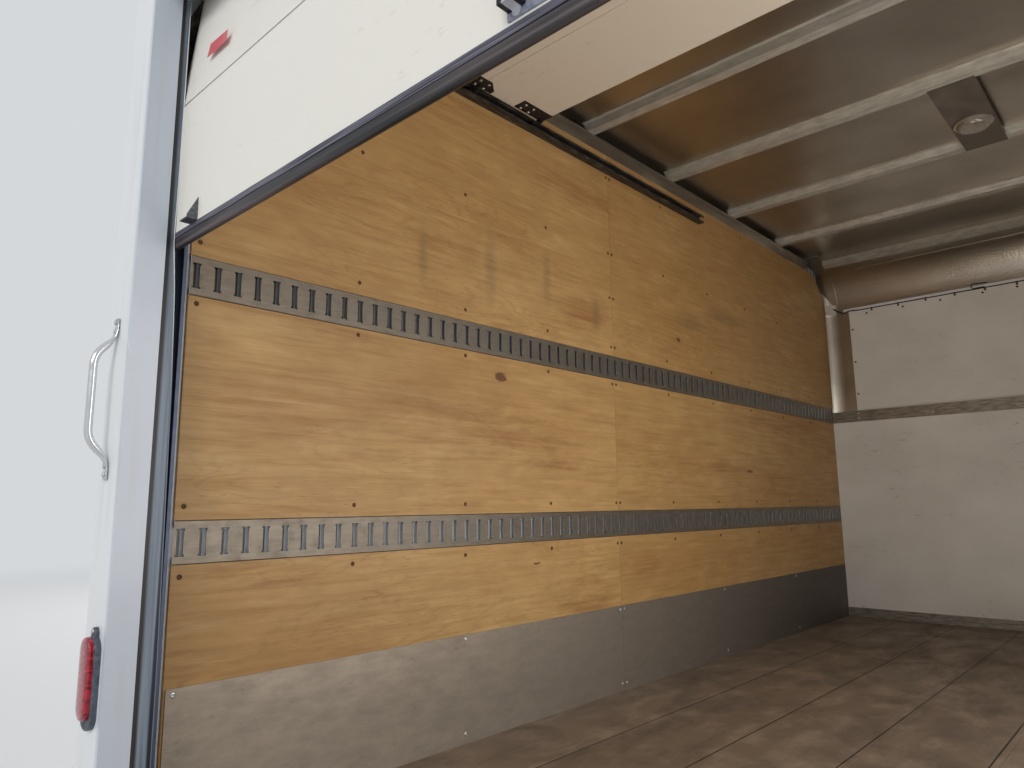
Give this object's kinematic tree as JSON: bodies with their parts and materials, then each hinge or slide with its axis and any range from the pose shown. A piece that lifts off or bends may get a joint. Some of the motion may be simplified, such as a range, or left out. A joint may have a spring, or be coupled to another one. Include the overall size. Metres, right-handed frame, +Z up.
{
  "type": "truck box body",
  "caption": "Dry-freight box body of a truck: plywood-lined load space with slotted cargo rails, roof bows and a part-open roll-up rear door.",
  "frame": {"origin": "middle of the footprint, at the bottom of the two long sills", "axes": "+X to the right, +Y forwards from the rear doorway to the front wall, +Z up"},
  "size_m": [2.438, 4.318, 2.4146],
  "materials": {
    "amber_lens": "amber acrylic lens",
    "black_hinge_steel": "black coated steel",
    "black_rubber": "black rubber",
    "chassis_paint": "semi-gloss black chassis paint",
    "clear_lens": "frosted acrylic lens",
    "dark_steel": "dark hot-rolled steel sheet",
    "dull_aluminium": "weathered aluminium extrusion",
    "floor_wood": "worn laminated hardwood",
    "galvanised_steel": "galvanised sheet steel",
    "mill_aluminium": "mill-finish aluminium",
    "plywood": "varnished softwood plywood",
    "rail_steel": "weathered zinc plated steel",
    "red_lens": "red acrylic lens",
    "white_door": "white painted plywood core door panel",
    "white_liner": "white faced liner board",
    "white_paint": "gloss white paint",
    "zinc_steel": "zinc plated steel"
  },
  "bodies": {
    "root": {"bottom_rail_left": "dull_aluminium", "bottom_rail_right": "dull_aluminium", "corner_cap_left": "mill_aluminium", "corner_cap_right": "mill_aluminium", "counterbalance": "zinc_steel", "cross_members": "chassis_paint", "dome_lamp_lens": "clear_lens", "dome_lamp_plate": "galvanised_steel", "door_bottom_rail": "dull_aluminium", "door_bottom_seal": "black_rubber", "door_corner_brackets": "zinc_steel", "door_latch": "zinc_steel", "door_rollers": "black_hinge_steel", "door_seals": "black_rubber", "door_sections": "white_door", "door_track_left": "galvanised_steel", "door_track_right": "galvanised_steel", "floor_planks": "floor_wood", "front_corner_post_left": "mill_aluminium", "front_corner_post_right": "mill_aluminium", "front_foot_rail": "dull_aluminium", "front_lower_panel": "white_liner", "front_marker_lamps": "amber_lens", "front_mid_rail": "dull_aluminium", "front_radius_bar": "mill_aluminium", "front_upper_panel": "white_liner", "front_wall": "white_paint", "grab_handle_left": "zinc_steel", "grab_handle_right": "zinc_steel", "kick_plate_left": "dark_steel", "kick_plate_right": "dark_steel", "lamp_cable": "black_rubber", "lamp_pigtails": "black_rubber", "lining_left": "plywood", "lining_right": "plywood", "long_sills": "chassis_paint", "lower_cargo_rail_left": "rail_steel", "lower_cargo_rail_right": "rail_steel", "rear_header": "white_paint", "rear_marker_lamps": "red_lens", "rear_post_left": "white_paint", "rear_post_right": "white_paint", "rear_sill": "galvanised_steel", "roof_bows": "galvanised_steel", "roof_skin": "mill_aluminium", "side_wall_left": "white_paint", "side_wall_right": "white_paint", "tail_lamp_base_left": "black_rubber", "tail_lamp_base_right": "black_rubber", "tail_lamp_lens_left": "red_lens", "tail_lamp_lens_right": "red_lens", "top_rail_left": "mill_aluminium", "top_rail_right": "mill_aluminium", "upper_cargo_rail_left": "rail_steel", "upper_cargo_rail_right": "rail_steel"}
  },
  "joints": []
}
